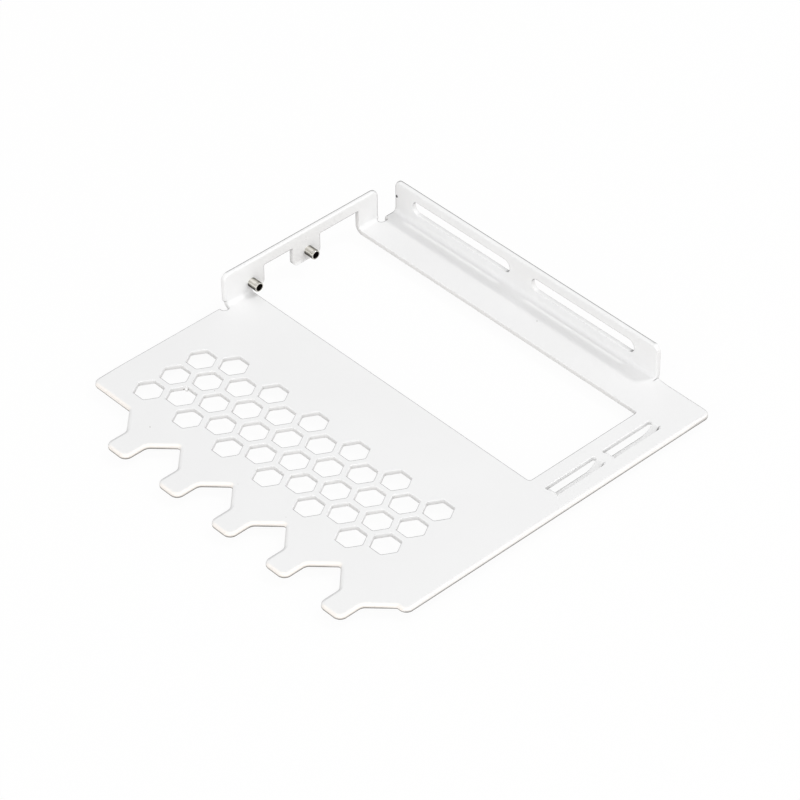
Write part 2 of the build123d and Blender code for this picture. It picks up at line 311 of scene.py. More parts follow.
def rounded(corners):
    """Points of a closed outline in millimetres. Each corner is x, y and the radius there."""
    points = []
    for before, (x, y, radius), after in zip(corners[-1:] + corners[:-1], corners, corners[1:] + corners[:1]):
        corner = Vector((x, y))
        back = (Vector(before[:2]) - corner).normalized()
        ahead = (Vector(after[:2]) - corner).normalized()
        half = back.angle(ahead) / 2
        centre = corner + (back + ahead).normalized() * radius / math.sin(half)
        start = (corner + back * radius / math.tan(half) - centre).normalized()
        end = (corner + ahead * radius / math.tan(half) - centre).normalized()
        steps = max(2, round(start.angle(end) / ARC_STEP))
        points += [centre + start.slerp(end, k / steps) * radius for k in range(steps + 1)]
    closed = []
    for point, after in zip(points, points[1:] + points[:1]):
        parts = math.ceil((after - point).length / LONGEST_STEP)
        closed += [point.lerp(after, k / parts) for k in range(parts)]
    return closed


print("points of a rounded square:", len(rounded([(0, 0, 1), (9, 0, 1), (9, 9, 1), (0, 9, 1)])))

# %% [markdown]
# A flange lies flat in the blank, so a height on the folded flange has to be turned into a place in the
# blank. Round the fold the sheet is as long as its middle layer, and past the fold it is as long as it is
# high.

# %% Lengths round the folds
SHEET = 1.4
UNDER = 2.4
BEND_OUTSIDE = 2.6
BEND_MIDDLE = BEND_OUTSIDE - SHEET / 2
BEND_RUN = BEND_MIDDLE * math.pi / 2
SIDE_LINE, SIDE_TOP = -57.85, 13.6
REAR_LINE, REAR_TOP = 58.35, 14.0


def run_to(height):
    """Length in the blank from the start of a fold to a height on its flange."""
    above = height - UNDER - BEND_OUTSIDE
    if above >= 0:
        return BEND_RUN + above
    return BEND_MIDDLE * math.acos(-above / BEND_MIDDLE)


print("blank length of the rear flange in mm:", round(run_to(REAR_TOP), 2))

# %% [markdown]
# The outline of the blank runs round the plate: up the left edge, round the side flange, past the small
# relief in the corner, round the rear flange, down the right edge, and back along the five tongues. They
# stand at the pitch of a case's slots, so a loop draws them.

# %% Outline of the blank
SLOT_PITCH, SLOT_COUNT = 20.32, 5
LEFT, RIGHT, FRONT, BACK, PLATE_CORNER = -59.55, 60.45, -47.6, 60.05, 2.2
SIDE_START, SIDE_END = -2.0, 53.8
REAR_START, REAR_END, FLANGE_CORNER = -58.8, 41.2, 2.0
RELIEF_FRONT, RELIEF_BACK, RELIEF_CORNER, RELIEF_MOUTH = -3.5, -1.5, 0.95, 0.65
CORNER_OUTER, CORNER_INNER, CORNER_FRONT, CORNER_BACK = -59.15, -57.4, 53.1, 55.5
END_CUT, END_CUT_FRONT, END_CUT_CORNER = 0.14, REAR_LINE - 0.1, 0.05
TONGUE_FIRST, TONGUE_HALF = -34.1, 4.05
SHOULDER, TIP = -53.71, -60.95
ROOT_CORNER, SHOULDER_CORNER, TIP_CORNER = 0.8, 2.4, 2.2

side_rim = SIDE_LINE - run_to(SIDE_TOP)
rear_rim = REAR_LINE + run_to(REAR_TOP)
outline = [
    (LEFT, FRONT, PLATE_CORNER), (LEFT, RELIEF_FRONT, RELIEF_MOUTH),
    (SIDE_LINE, RELIEF_FRONT, RELIEF_CORNER), (SIDE_LINE, RELIEF_BACK, RELIEF_CORNER),
    (SIDE_LINE - run_to(4.5), RELIEF_BACK, 0.3), (SIDE_LINE - run_to(5.1), SIDE_START, RELIEF_MOUTH),
    (side_rim, SIDE_START, FLANGE_CORNER), (side_rim, SIDE_END, FLANGE_CORNER),
    (CORNER_OUTER, SIDE_END, RELIEF_MOUTH), (CORNER_OUTER, CORNER_FRONT, 0.03),
    (CORNER_INNER, CORNER_FRONT, RELIEF_CORNER), (CORNER_INNER, CORNER_BACK, 0.72),
    (REAR_START, CORNER_BACK, RELIEF_MOUTH), (REAR_START, rear_rim, FLANGE_CORNER),
    (REAR_END, rear_rim, FLANGE_CORNER), (REAR_END, END_CUT_FRONT, END_CUT_CORNER),
    (REAR_END + END_CUT, END_CUT_FRONT, END_CUT_CORNER), (REAR_END + END_CUT, BACK, 0.15),
    (RIGHT, BACK, PLATE_CORNER), (RIGHT, FRONT, PLATE_CORNER)]
for k in reversed(range(SLOT_COUNT)):
    x = TONGUE_FIRST + k * SLOT_PITCH
    outline += [(x + SLOT_PITCH / 2, FRONT, ROOT_CORNER), (x + TONGUE_HALF, SHOULDER, SHOULDER_CORNER),
                (x + TONGUE_HALF, TIP, TIP_CORNER), (x - TONGUE_HALF, TIP, TIP_CORNER),
                (x - TONGUE_HALF, SHOULDER, SHOULDER_CORNER)]
outline.append((TONGUE_FIRST - SLOT_PITCH / 2, FRONT, ROOT_CORNER))
print("corners of the blank:", len(outline))

# %% [markdown]
# The large holes come next: the window for the card's connectors, which runs on into the side flange
# round a tab, two long screw slots in the rear flange, and two narrow slots with a cut beside each that
# frees the strip between them. The cut has hardly any width, as a press tears it without taking metal
# away.

# %% Window, slots and cuts
WINDOW_FRONT, WINDOW_BACK, WINDOW_RIGHT, WINDOW_CORNER = 7.5, 46.35, 47.05, 0.9
OPENING_TOP, OPENING_CORNER = 10.0, 0.4
LEDGE_END, TAB_START, TAB_END, TAB_LOW, TAB_CORNER = 12.1, 22.3, 32.3, 4.0, 1.4
SCREW_SLOT_PLACES, SCREW_SLOT_HALF = (-32.65, 13.75), 19.05
SCREW_SLOT_LOW, SCREW_SLOT_TOP, SCREW_SLOT_CORNER = 6.875, 10.925, 2.02
STRIP_LEFT, STRIP_RIGHT, STRIP_LENGTH = 52.65, 55.65, 17.35
STRIP_BACKS = (46.3, 46.3 - SLOT_PITCH)
NARROW_SLOT, NARROW_SLOT_CORNER = 1.1, 0.48
CUT_HALF, CUT_CORNER = 0.06, 0.05


def box(left, right, front, back, radius):
    """Corners of a rectangle with one radius."""
    return [(left, front, radius), (right, front, radius), (right, back, radius), (left, back, radius)]


top = SIDE_LINE - run_to(OPENING_TOP)
low = SIDE_LINE - run_to(TAB_LOW)
holes = [[(WINDOW_RIGHT, WINDOW_FRONT, WINDOW_CORNER), (WINDOW_RIGHT, WINDOW_BACK, WINDOW_CORNER),
          (top, WINDOW_BACK, OPENING_CORNER), (top, TAB_END, OPENING_CORNER),
          (low, TAB_END, TAB_CORNER), (low, TAB_START, TAB_CORNER),
          (top, TAB_START, OPENING_CORNER), (top, LEDGE_END, OPENING_CORNER),
          (low, LEDGE_END, TAB_CORNER), (low, WINDOW_FRONT, 0.3)]]
for x in SCREW_SLOT_PLACES:
    holes.append(box(x - SCREW_SLOT_HALF, x + SCREW_SLOT_HALF, REAR_LINE + run_to(SCREW_SLOT_LOW),
                     REAR_LINE + run_to(SCREW_SLOT_TOP), SCREW_SLOT_CORNER))
cuts = []
for back in STRIP_BACKS:
    front = back - STRIP_LENGTH
    holes.append(box(STRIP_LEFT - NARROW_SLOT, STRIP_LEFT, front, back, NARROW_SLOT_CORNER))
    cuts.append(box(STRIP_RIGHT - CUT_HALF, STRIP_RIGHT + CUT_HALF, front, back, CUT_CORNER))
print("large holes in the blank:", len(holes), "and cuts:", len(cuts))

# %% [markdown]
# Air passes the plate through a honeycomb, twelve columns of three hexagons where each second column is
# half a step further back. One punch makes them all, so two loops do it here.

# %% Honeycomb
HEX_COLUMNS, HEX_ROWS = 12, 3
HEX_STEP = 9.0
HEX_REACH = 7.2 / math.sqrt(3)
HEX_FIRST_X, HEX_FIRST_Y = -46.55, -39.1
HEX_CORNER = 0.8

turns = [math.tau * k / 6 for k in range(6)]
for column in range(HEX_COLUMNS):
    for row in range(HEX_ROWS):
        x = HEX_FIRST_X + column * HEX_STEP * math.sqrt(3) / 2
        y = HEX_FIRST_Y + (row + column % 2 / 2) * HEX_STEP
        holes.append([(x + HEX_REACH * math.cos(t), y + HEX_REACH * math.sin(t), HEX_CORNER) for t in turns])
print("holes in the blank:", len(holes))

# %% [markdown]
# Powder draws back from a sharp edge as it melts, so every punched edge is rolled. In the photograph the
# roll is widest along the front and the right edge. In the narrow cut at the end of the rear flange there
# is no room for it. Two functions say how wide it is at any place.

# %% Width of the rolled edges
OUTER_ROLL = (0.52, 0.85, 0.25)  # width on top, drop of the top and rise of the underside
HOLE_ROLL = (0.2, 0.2, 0.2)
CUT_ROLL = (0.04, 0.04, 0.04)
WIDER = 0.7
FRONT_BAND = (-40.0, -46.0)
RIGHT_BAND = (58.5, 60.0)
RIGHT_BAND_END = (57.0, 52.0)
END_REACH, END_HALF, END_FRONT, END_TIGHT = 3.0, 0.2, 1.0, 1.2
LEAST_ROLL = 0.08


def share(value, none, all_of_it):
    """How far a value has come from the place of none to the place of all, between 0 and 1."""
    return min(max((value - none) / (all_of_it - none), 0.0), 1.0)


def spread(point):
    """How much wider the roll is at a place: most along the front and the right edge."""
    right = share(point.x, *RIGHT_BAND) * share(point.y, *RIGHT_BAND_END)
    return 1.0 + WIDER * max(share(point.y, *FRONT_BAND), right)


def tightness(point):
    """Share of the full roll at a place: little in the cut at the end of the rear flange, else all."""
    beside = abs(point.x - REAR_END - END_CUT / 2)
    if point.y < REAR_LINE - END_FRONT or beside > END_REACH:
        return 1.0
    up = share(point.y - REAR_LINE - END_TIGHT, 0.0, BEND_RUN) if beside < END_HALF else beside / END_REACH
    return LEAST_ROLL + (1 - LEAST_ROLL) * up


print("roll in mm at the left edge:", OUTER_ROLL[0], "and at the front:",
      round(OUTER_ROLL[0] * spread(Vector((0, FRONT))), 3))

# %% [markdown]
# An outline becomes the edge of a sheet as rows of points: from the top face over a quarter circle to the
# wall, and over another to the underside. One more row on each face keeps the shading of the roll off the
# flat.

# %% Rows of points over an edge
EDGE_LINE = 0.12
ROLL_STEPS = 5


def inset(points, depth, wider):
    """An outline moved by a depth into the sheet, which lies on its right."""
    moved = []
    for before, point, after in zip(points[-1:] + points[:-1], points, points[1:] + points[:1]):
        along = ((point - before).normalized() + (after - point).normalized()).normalized()
        reach = depth * tightness(point)
        if wider:
            reach *= spread(point)
        moved.append(point + reach * Vector((along.y, -along.x)))
    return moved


def edge_rows(work, points, roll):
    """The rows of points over a punched edge, from the top face to the underside, with faces between them."""
    turns = [math.pi / 2 * k / ROLL_STEPS for k in range(ROLL_STEPS + 1)]
    width, drop, rise = roll
    line = min(EDGE_LINE, width)
    profile = [(width * (1 - math.sin(t)), SHEET / 2 - drop * (1 - math.cos(t))) for t in turns]
    profile += [(rise * (1 - math.sin(t)), rise * (1 - math.cos(t)) - SHEET / 2) for t in turns[::-1]]
    profile = [(width + line, SHEET / 2)] + profile + [(width + line, -SHEET / 2)]
    rows = []
    for depth, z in profile:
        face = math.copysign(SHEET / 2, z - (rise - drop) / 2)
        heights = [face + (z - face) * tightness(point) for point in points]
        places = inset(points, depth, roll == OUTER_ROLL)
        rows.append([work.verts.new((*place, height)) for place, height in zip(places, heights)])
    for above, below in zip(rows, rows[1:]):
        for k in range(len(points)):
            work.faces.new((above[k - 1], above[k], below[k], below[k - 1]))
    return rows


print("rows of points over an edge:", 2 * (ROLL_STEPS + 1) + 2)

# %% [markdown]
# The flats between all outlines are filled with triangles that leave the holes open. The blank is drawn
# in millimetres. Its points keep a mark for the coat: half on the row beside a roll, one on the upper
# roll, two on the lower one, with a minus in holes, and nought on the flats and in the cuts.

# %% Punch the blank
FILL_WITH_HOLES = 2
SAME_PLACE = 1e-6
ON_LINE, ON_ROLL, ON_LOWER_ROLL = 0.25, 0.75, 1.5  # least marks there

blank = bmesh.new()
on_edge = blank.verts.layers.float.new("on_edge")
tops, unders, loops = [], [], []
for group, roll, mark in (([outline], OUTER_ROLL, 1.0), (holes, HOLE_ROLL, -1.0), (cuts, CUT_ROLL, 0.0)):
    for corners in group:
        rows = edge_rows(blank, rounded(corners), roll)
        for vertex in rows[1] + rows[-2]:
            vertex[on_edge] = mark / 2
        for vertex in sum(rows[2:ROLL_STEPS + 2], []):
            vertex[on_edge] = mark
        for vertex in sum(rows[ROLL_STEPS + 2:-2], []):
            vertex[on_edge] = 2 * mark
        loops.append(list(range(len(tops), len(tops) + len(rows[0]))))
        tops += rows[0]
        unders += rows[-1]
loops[0].reverse()
flat = [vertex.co.xy for vertex in tops]
_, _, triangles, sources, _, _ = delaunay_2d_cdt(flat, [], loops, FILL_WITH_HOLES, SAME_PLACE)
for triangle in triangles:
    corners = [sources[k][0] for k in triangle]
    blank.faces.new([tops[k] for k in corners])
    blank.faces.new([unders[k] for k in corners[::-1]])
bmesh.ops.translate(blank, verts=blank.verts, vec=(0, 0, UNDER + SHEET / 2))
print("blank faces:", len(blank.faces), "open edges:", sum(not line.is_manifold for line in blank.edges))

# %% [markdown]
# A sheet only bends where its mesh has lines to bend along. The blank is cut across at each fold and at
# the ramps of the two strips. The strips are then pressed down by moving their points: a short ramp at
# the near end, a level stretch as deep as a card's own bracket needs, and a longer, rounder ramp up at
# the far end.

# %% Press the strips
DROP = 2.399
NEAR_RAMP = 2.7
FAR_RAMP = 4.5
FAR_START = 0.22
RAMP_STEPS = 18
FOLD_STEPS = 10
STRIP_MARGIN = 0.5

lines = [((SIDE_LINE - BEND_RUN * k / FOLD_STEPS, 0, 0), (1, 0, 0)) for k in range(FOLD_STEPS + 1)]
lines += [((0, REAR_LINE + BEND_RUN * k / FOLD_STEPS, 0), (0, 1, 0)) for k in range(FOLD_STEPS + 1)]
for back in STRIP_BACKS:
    for k in range(RAMP_STEPS + 1):
        lines.append(((0, back - FAR_RAMP * (k / RAMP_STEPS) ** 2, 0), (0, 1, 0)))
        lines.append(((0, back - STRIP_LENGTH + NEAR_RAMP * k / RAMP_STEPS, 0), (0, 1, 0)))
for place, normal in lines:
    everything = blank.verts[:] + blank.edges[:] + blank.faces[:]
    bmesh.ops.bisect_plane(blank, geom=everything, dist=1e-5, plane_co=place, plane_no=normal)


def pressed(y, back):
    """How far a strip is pressed down at a place along it."""
    far = share(back - y, 0.0, FAR_RAMP)
    near = share(y - back + STRIP_LENGTH, 0.0, NEAR_RAMP)
    start = min(far / FAR_START, 1.0)
    round_ramp = (math.sin(far * math.pi / 2) + math.sqrt(1 - (1 - far) ** 2)) / 2
    eased_ramp = near * near * (3 - 2 * near)
    return DROP * min(round_ramp * start * (2 - start), eased_ramp)


for vertex in blank.verts:
    for back in STRIP_BACKS:
        x, y, z = vertex.co
        if STRIP_LEFT - STRIP_MARGIN < x < STRIP_RIGHT and back - STRIP_LENGTH < y < back:
            vertex.co.z -= pressed(y, back)
print("lowest point of the strips in mm:", round(min(vertex.co.z for vertex in blank.verts), 3))

# %% [markdown]
# A brake folds the flanges: points past the start of a fold turn round its axis, those nearer the inside
# on a smaller circle, and points past its end stand up straight. The tab in the side opening ends inside
# the fold, cut level, so its end turns less on the inside of the sheet.

# %% Fold the flanges
TAB_ZONE = (21.0, 34.0)
SIDE_ZONE = (SIDE_START - 0.5, SIDE_END + 0.6)
SHRINK = 3e-7  # keeps rounding from taking the sheet past the solid's box


def new_piece(name, data):
    """An object at the origin that shows a mesh."""
    piece = bpy.data.objects.new(name, data)
    bpy.context.scene.collection.objects.link(piece)
    return piece


def turned(run, layer, level_end):
    """Reach and height of a point after folding. Layer is its height in the sheet, from the outside."""
    radius = BEND_OUTSIDE - layer
    angle = min(run, BEND_RUN) / BEND_MIDDLE
    if level_end:
        start = math.acos((UNDER + BEND_OUTSIDE - TAB_LOW) / radius)
        still_to_go = (BEND_RUN - run) / (BEND_RUN - run_to(TAB_LOW))
        angle = math.pi / 2 - (math.pi / 2 - start) * max(still_to_go, 0.0)
    return radius * math.sin(angle), BEND_OUTSIDE - radius * math.cos(angle) + max(run - BEND_RUN, 0.0)


for vertex in blank.verts:
    x, y, z = vertex.co
    if x < SIDE_LINE and SIDE_ZONE[0] < y < SIDE_ZONE[1]:
        reach, height = turned(SIDE_LINE - x, z - UNDER, TAB_ZONE[0] < y < TAB_ZONE[1])
        vertex.co = (SIDE_LINE - reach, y, UNDER + height)
    elif y > REAR_LINE and x < REAR_END + END_CUT / 2:
        reach, height = turned(y - REAR_LINE, z - UNDER, False)
        vertex.co = (x, REAR_LINE + reach, UNDER + height)
bmesh.ops.scale(blank, verts=blank.verts, vec=[MM * (1 - SHRINK)] * 3)
bmesh.ops.recalc_face_normals(blank, faces=blank.faces)
mesh = bpy.data.meshes.new("folded_sheet")
blank.to_mesh(mesh)
print("sheet faces:", len(blank.faces), "open edges:", sum(not line.is_manifold for line in blank.edges),
      "volume in mm3:", round(blank.calc_volume() / MM**3))
blank.free()
sheet = new_piece("folded_sheet", mesh)

# %% [markdown]
# The posts are pressed in from outside, so the flange has a six-sided seat in its outer face and a round
# hole behind it. Two booleans cut them, which keeps these tight edges crisp.

# %% Seats for the posts
FLANGE_FACE = -60.45 * MM
HEAD_FLATS = 4.0 * MM
HEAD_HEIGHT = 0.9 * MM
SEAT_PLAY = 0.06 * MM
BARREL_HOLE, BARREL_HOLE_SIDES, BARREL_HOLE_DEPTH = 1.36 * MM, 48, 3 * MM


def seat_cutter(name, sides, radius, depth):
    """A prism along X at each post, to cut with, from outside the flange to a depth in it."""
    work = bmesh.new()
    start, end = FLANGE_FACE - MM, FLANGE_FACE + depth
    for y in POST_PLACES:
        place = Matrix.Translation(((start + end) / 2, y, POST_RISE)) @ Matrix.Rotation(math.pi / 2, 4, "Y")
        bmesh.ops.create_cone(work, cap_ends=True, segments=sides, radius1=radius, radius2=radius,
                              depth=end - start, matrix=place)
    mesh = bpy.data.meshes.new(name)
    work.to_mesh(mesh)
    work.free()
    return new_piece(name, mesh)


def as_mesh(carrier):
    """The plain mesh that an object shows, after which the object is removed."""
    mesh = bpy.data.meshes.new_from_object(carrier.evaluated_get(bpy.context.evaluated_depsgraph_get()))
    bpy.data.objects.remove(carrier)
    return mesh


cutters = [seat_cutter("head_seat", 6, (HEAD_FLATS + SEAT_PLAY) / math.sqrt(3), HEAD_HEIGHT),
           seat_cutter("barrel_hole", BARREL_HOLE_SIDES, BARREL_HOLE, BARREL_HOLE_DEPTH)]
for cutter in cutters:
    cut = sheet.modifiers.new(cutter.name, "BOOLEAN")
    cut.object = cutter
    cut.solver = "MANIFOLD"
work = bmesh.new()
work.from_mesh(as_mesh(sheet))
for cutter in cutters:
    bpy.data.objects.remove(cutter)
print("sheet faces with the seats:", len(work.faces))

# %% [markdown]
# The lines that the folds and the strips needed run right across the plate. Where the sheet stayed flat
# they do nothing, and long thin triangles shade badly, so the flats are merged into large faces again.

# %% Merge the flats
FLAT_ANGLE = math.radians(0.2)
LEAST_EDGE = 0.0001 * MM

on_edge = work.verts.layers.float["on_edge"]
flats = {face for face in work.faces if max(abs(vertex[on_edge]) for vertex in face.verts) < ON_LINE}
flat_points = [vertex for vertex in work.verts if flats.issuperset(vertex.link_faces)]
flat_lines = [line for line in work.edges if flats.issuperset(line.link_faces)]
bmesh.ops.dissolve_limit(work, angle_limit=FLAT_ANGLE, verts=flat_points, edges=flat_lines)
bmesh.ops.dissolve_degenerate(work, dist=LEAST_EDGE, edges=work.edges)
for face in work.faces:
    face.smooth = True
work.normal_update()
print("sheet faces with merged flats:", len(work.faces))

# %% [markdown]
# Each edge of the real sheet shows its own thin line of light or shade, and the way that the edge faces tells
# which: brown painted shade where it turns down, grey painted shade where it turns from the windows, cream
# painted light where it turns to them on the outside, and pale painted light on a wall that turns to them in
# a hole. A function reads that from a point's place and normal. The limits were found by trial against the
# photograph.

# %% Shares of the painted edge light and shade
NEAR_SIDE = Vector((0.74, -0.67, 0.0))
WINDOWS = Vector((0.56, -0.52, 0.645))
PLATE_LEVEL = UNDER + SHEET + 0.1
TONGUE_BAND, RIGHT_WALL_BAND, RIGHT_CREAM_BAND = FRONT - 1.0, RIGHT - 0.9, RIGHT - 1.5
# limits of the painted shade (brown, grey) and the painted light (cream, pale) on the edges
BROWN_BELOW, BROWN_WALL, BROWN_STEEP = (-0.9, -0.52), 0.34, 0.3
GREY_ROLL, GREY_WALL, GREY_FLANGE = (0.0, -0.35), (0.12, -0.1), (0.4, 0.05)
GREY_SHADE, GREY_SIDE_SHADE, GREY_FLANGE_SLOPE = (0.45, 0.1), (0.55, 0.25), 0.5
GREY_FRONT, GREY_PLATE, GREY_FRONT_LINE = 0.46, 0.68, -44.0
GREY_HOLE, HOLE_STEEP = 0.12, 0.35
CREAM_TURN, CREAM_RIGHT = (0.0, 0.4), 0.4
PALE_HOLE, PALE_SCREW_SLOT = (0.75, 0.95), (0.5, 0.9)


def painted_edge_shares(vertex):
    """Shares of brown and grey painted shade and of cream and pale painted light at a point of a rolled edge.
    """
    x, y, z = vertex.co / MM
    slope, side = vertex.normal.z, vertex.normal.dot(NEAR_SIDE)
    outside = vertex[on_edge] > 0
    outer_wall = vertex[on_edge] > ON_LOWER_ROLL
    on_plate = z < PLATE_LEVEL and (y < REAR_LINE or x > REAR_END + 0.2)
    on_plate = on_plate and (x > SIDE_LINE or y < RELIEF_FRONT + 0.1)
    brown, cream, pale = 0.0, 0.0, 0.0
    if on_plate and abs(vertex[on_edge]) > ON_LOWER_ROLL:
        brown = share(slope, *BROWN_BELOW)
    elif on_plate and outside and slope < BROWN_STEEP and (y < TONGUE_BAND or x > RIGHT_WALL_BAND):
        brown = BROWN_WALL
    grey = share(side, *(GREY_WALL if outer_wall else GREY_ROLL))
    if outer_wall and not on_plate and abs(slope) < GREY_FLANGE_SLOPE:
        grey = share(side, *GREY_FLANGE)
    shade = GREY_SIDE_SHADE if x < SIDE_LINE and not outside else GREY_SHADE
    grey = max(grey, share(vertex.normal.dot(WINDOWS), *shade))
    if on_plate and outside:
        cream = share(side, *CREAM_TURN) * (CREAM_RIGHT if x > RIGHT_CREAM_BAND else 1.0)
        grey *= GREY_FRONT if y < GREY_FRONT_LINE else GREY_PLATE
    if on_plate and not outside and slope < HOLE_STEEP:
        brown, grey, pale = 0.0, GREY_HOLE * brown, share(side, *PALE_HOLE)
    if y > REAR_LINE and not outside:
        pale = share(slope, *PALE_SCREW_SLOT)
    return brown, grey, cream, pale


print("grey at half the limit of a roll:", share(GREY_ROLL[1] / 2, *GREY_ROLL))

# %% [markdown]
# The shares of painted light and shade go into a colour attribute of the mesh, one tone in each channel, and
# the coat's finish reads it by its name. A row of points beside a roll takes on the roll's grey painted
# shade, so that a grey line ends softly on the flat.

# %% Painted edge light and shade on the points
# painted light and shade: each point's shares of the four edge tones
edge_light_and_shade = work.verts.layers.float_color.new("edge_light_and_shade")
for vertex in work.verts:
    vertex[edge_light_and_shade] = painted_edge_shares(vertex) if abs(vertex[on_edge]) > ON_ROLL else (0.0, 0.0, 0.0, 0.0)
for vertex in work.verts:
    if ON_LINE < abs(vertex[on_edge]) < ON_ROLL:
        beside = [line.other_vert(vertex) for line in vertex.link_edges]
        rolled = [other[edge_light_and_shade][1] for other in beside if abs(other[on_edge]) > ON_ROLL]
        vertex[edge_light_and_shade] = (0.0, max(rolled, default=0.0), 0.0, 0.0)
print("points on edges:", sum(abs(vertex[on_edge]) > ON_LINE for vertex in work.verts),
      "brown:", sum(vertex[edge_light_and_shade][0] > 0.5 for vertex in work.verts),
      "grey:", sum(vertex[edge_light_and_shade][1] > 0.5 for vertex in work.verts))

# %% [markdown]
# Now the sheet is one closed skin. Weighted normals keep its flats flat beside the rolled edges. A helper
# that serves every piece gives it its finish, sets it on the part's one body, and hides the solid that it
# stands for.

# %% Finished sheet
mesh = bpy.data.meshes.new("folded_sheet")
work.to_mesh(mesh)
print("sheet faces:", len(work.faces), "open edges:", sum(not line.is_manifold for line in work.edges),
      "volume in mm3:", round(work.calc_volume() / MM**3))
work.free()
sheet = new_piece("folded_sheet", mesh)
level = sheet.modifiers.new("flat faces", "WEIGHTED_NORMAL")
level.weight = 100


def keep(piece, finish, slot, *nodes):
    """Gives a piece its finish, sets it on the body, and hides the solids that it stands for."""
    piece.data.materials.clear()
    piece.data.materials.append(finish)
    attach(piece, "root")
    if nodes:
        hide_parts(*nodes)


keep(sheet, coat, "white_powder_coat", "bracket_sheet")
print("sheet triangles:", sum(len(face.vertices) - 2 for face in mesh.polygons))

# %% [markdown]
# A card's screws go into two hollow posts. Each is a turned tube whose hexagonal head is pressed flush
# into the outer face of the flange. A lathe makes such a thing from one half section, so the section
# comes first: pairs of length and radius, up through the bore, over the rounded tip and back along the
# barrel.

# %% Section of a post
HEAD_FACE = FLANGE_FACE + 0.02 * MM
POST_TIP = -55.85 * MM
POST_MOUTH = 1.14 * MM
POST_SIDES = 72
THREAD_OUTER = 1.0 * MM
SHARP = math.radians(35)
SECTION = [(HEAD_FACE, POST_MOUTH), (FLANGE_FACE + 0.14 * MM, THREAD_OUTER),
           (POST_TIP - 0.13 * MM, THREAD_OUTER), (POST_TIP - 0.02 * MM, 1.1 * MM),
           (POST_TIP, POST_MOUTH), (POST_TIP, 1.24 * MM), (POST_TIP - 0.03 * MM, 1.32 * MM),
           (POST_TIP - 0.09 * MM, 1.38 * MM), (POST_TIP - 0.17 * MM, POST_RADIUS),
           (FLANGE_FACE + 0.5 * MM, POST_RADIUS)]


def ring(work, middle, x, radius, sides):
    """A ring of points round a post's axis."""
    turns = [math.tau * k / sides for k in range(sides)]
    return [work.verts.new(middle + Vector((x, radius * math.cos(t), radius * math.sin(t)))) for t in turns]


print("length of a post in mm:", round((POST_TIP - HEAD_FACE) / MM, 2))

# %% [markdown]
# Turned round its axis, the section makes rings of points, with faces between them. Two rings of six
# points make the head, and its faces join the bore and the barrel.

# %% Turned posts
def turned_post(name, y):
    """A post at one place along the flange, turned from its section, with its head."""
    work = bmesh.new()
    middle = Vector((0, y, POST_RISE))
    rows = [ring(work, middle, x, radius, POST_SIDES) for x, radius in SECTION]
    for low, high in zip(rows, rows[1:]):
        for k in range(POST_SIDES):
            n = (k + 1) % POST_SIDES
            work.faces.new((low[k], low[n], high[n], high[k]))
    corner = HEAD_FLATS / math.sqrt(3)
    rim = [ring(work, middle, x, corner, 6) for x in (HEAD_FACE, FLANGE_FACE + HEAD_HEIGHT)]
    side = POST_SIDES // 6
    for k in range(6):
        n = (k + 1) % 6
        work.faces.new((rim[0][k], rim[0][n], rim[1][n], rim[1][k]))
        inner = [rows[0][(k * side + j) % POST_SIDES] for j in range(side + 1)]
        work.faces.new([rim[0][k], rim[0][n]] + inner[::-1])
        outer = [rows[-1][(k * side + j) % POST_SIDES] for j in range(side + 1)]
        work.faces.new([rim[1][n], rim[1][k]] + outer)
    bmesh.ops.recalc_face_normals(work, faces=work.faces)
    for face in work.faces:
        face.smooth = True
    for line in work.edges:
        line.smooth = line.calc_face_angle(0.0) < SHARP
    mesh = bpy.data.meshes.new(name)
    work.to_mesh(mesh)
    open_edges = sum(not line.is_manifold for line in work.edges)
    work.free()
    print(name, "faces:", len(mesh.polygons), "open edges:", open_edges)
    return new_piece(name, mesh)


for number, y in enumerate(POST_PLACES, start=1):
    post = turned_post(f"turned_post_{number}", y)
    keep(post, plating, "plated_steel", f"card_post_{number}")

# %% [markdown]
# Threads and grit both repeat one small shape, so Geometry Nodes make them. Both trees begin with the
# same kind of inputs and end in the same way: the shape is set on each point, made real and given its
# finish. A tree on a modifier isn't yet a piece: its inputs are set by their identifiers, the result is
# read once as a plain mesh, and the carrier of the modifier goes away.

# %% Begin, end and read a tree
def new_tree(name, *numbers):
    """A tree with places, named numbers and a finish as inputs, and the outputs of its input node."""
    tree = bpy.data.node_groups.new(name, "GeometryNodeTree")
    tree.interface.new_socket("Places", in_out="INPUT", socket_type="NodeSocketGeometry")
    for number in numbers:
        tree.interface.new_socket(number, in_out="INPUT", socket_type="NodeSocketFloat")
    tree.interface.new_socket("Finish", in_out="INPUT", socket_type="NodeSocketMaterial")
    tree.interface.new_socket("Pieces", in_out="OUTPUT", socket_type="NodeSocketGeometry")
    return tree, add(tree, "NodeGroupInput").outputs


def set_on_places(tree, given, shape, **more):
    """Ends a tree: sets a shape, with more inputs, on each of the places and gives it the finish."""
    points = add(tree, "GeometryNodeMeshToPoints", {"Mesh": given["Places"]}).outputs["Points"]
    placed = add(tree, "GeometryNodeInstanceOnPoints", {"Points": points, "Instance": shape, **more})
    real = add(tree, "GeometryNodeRealizeInstances", {"Geometry": placed.outputs["Instances"]})
    dressed = add(tree, "GeometryNodeSetMaterial", {"Geometry": real.outputs["Geometry"],
                                                    "Material": given["Finish"]})
    add(tree, "NodeGroupOutput", {"Pieces": dressed.outputs["Geometry"]})


